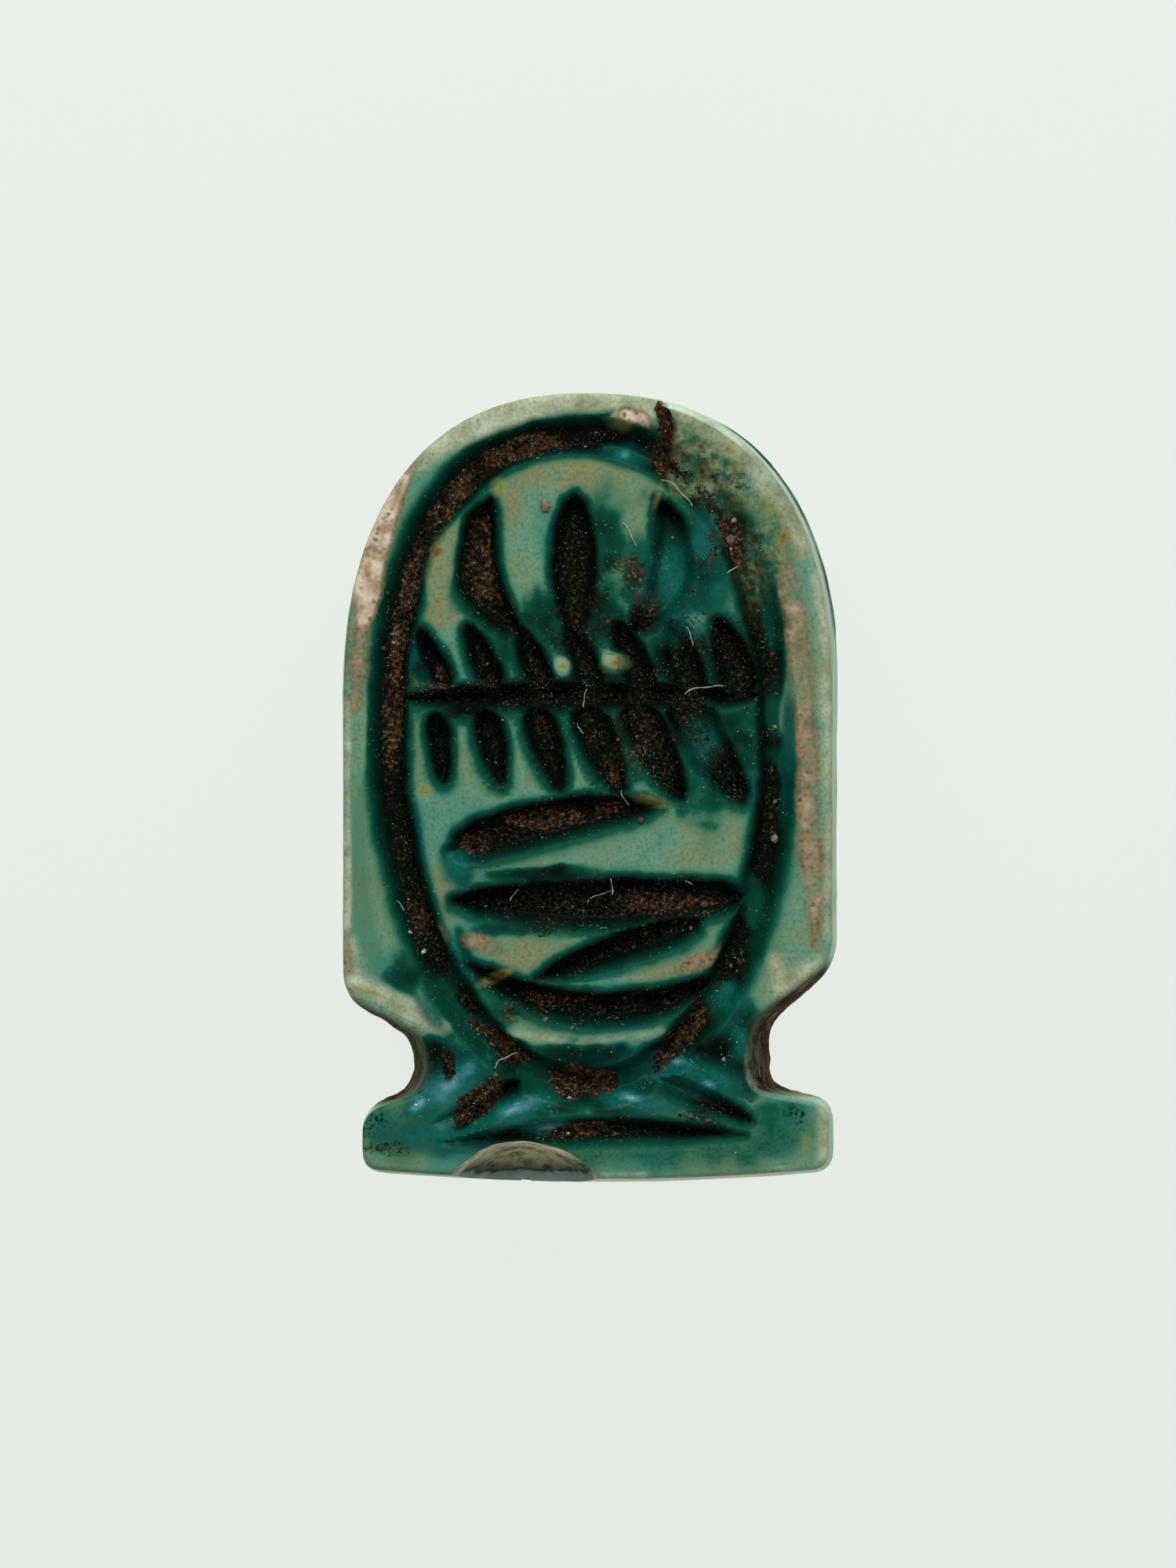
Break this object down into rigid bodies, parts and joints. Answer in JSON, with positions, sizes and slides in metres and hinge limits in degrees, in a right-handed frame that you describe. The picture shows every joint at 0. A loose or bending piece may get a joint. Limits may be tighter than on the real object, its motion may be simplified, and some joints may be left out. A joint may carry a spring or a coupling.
{
  "type": "cartouche amulet",
  "caption": "Domed tablet on a flared foot, carved with an oval ring, a tie and rows of plain strokes, and pierced lengthwise for stringing.",
  "frame": {"origin": "under the middle of the tablet, on the face it lies on", "axes": "+Y from the foot to the dome, +Z out of the carved face, +X to the right of the carved face"},
  "size_m": [0.0094, 0.015, 0.0045],
  "materials": {
    "glazed_stone": "worn blue-green glaze on soft stone, with soil left in the cuts",
    "soil": "dark burial soil and small grains caught in the cuts",
    "lint": "a few pale stray fibres"
  },
  "bodies": {
    "root": {"cartouche_amulet": "glazed_stone"}
  },
  "joints": []
}
